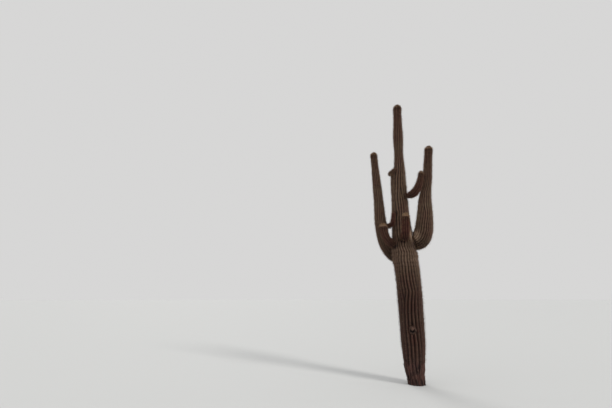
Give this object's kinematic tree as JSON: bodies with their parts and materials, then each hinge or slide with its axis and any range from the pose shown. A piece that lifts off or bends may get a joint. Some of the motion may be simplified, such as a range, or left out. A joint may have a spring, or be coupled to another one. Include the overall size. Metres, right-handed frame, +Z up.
{
  "type": "saguaro cactus",
  "caption": "Rooted saguaro cactus: a tall leaning ribbed trunk, upswept arms to either side, short young arms between them, an arm bud and a callused scar.",
  "frame": {"origin": "the middle of the flat cut under the trunk, at ground level", "axes": "+Z up the trunk, -Y towards the viewer of the picture, +X to that viewer's right"},
  "size_m": [1.3538, 0.7365, 5.975],
  "materials": {
    "skin": "matt waxy skin, dull olive brown, darker and browner towards the ground",
    "young_skin": "matt dark red-brown young skin under close spines",
    "cork": "dry rough brown cork",
    "felt": "grey-brown felt of the pads that carry the spines, tan on the tips",
    "spines": "dry spines from straw to russet, grey and dark brown"
  },
  "bodies": {
    "root": {"trunk": "skin", "arm_left_foot": "skin", "arm_left_column": "skin", "arm_right_foot": "skin", "arm_right_column": "skin", "arm_upper_right_foot": "young_skin", "arm_upper_right_column": "young_skin", "arm_front_left_foot": "young_skin", "arm_front_left_column": "young_skin", "arm_front_foot": "young_skin", "arm_front_column": "young_skin", "arm_drooping_foot": "young_skin", "arm_drooping_column": "young_skin", "arm_bud": "young_skin", "scar": "cork"}
  },
  "joints": []
}
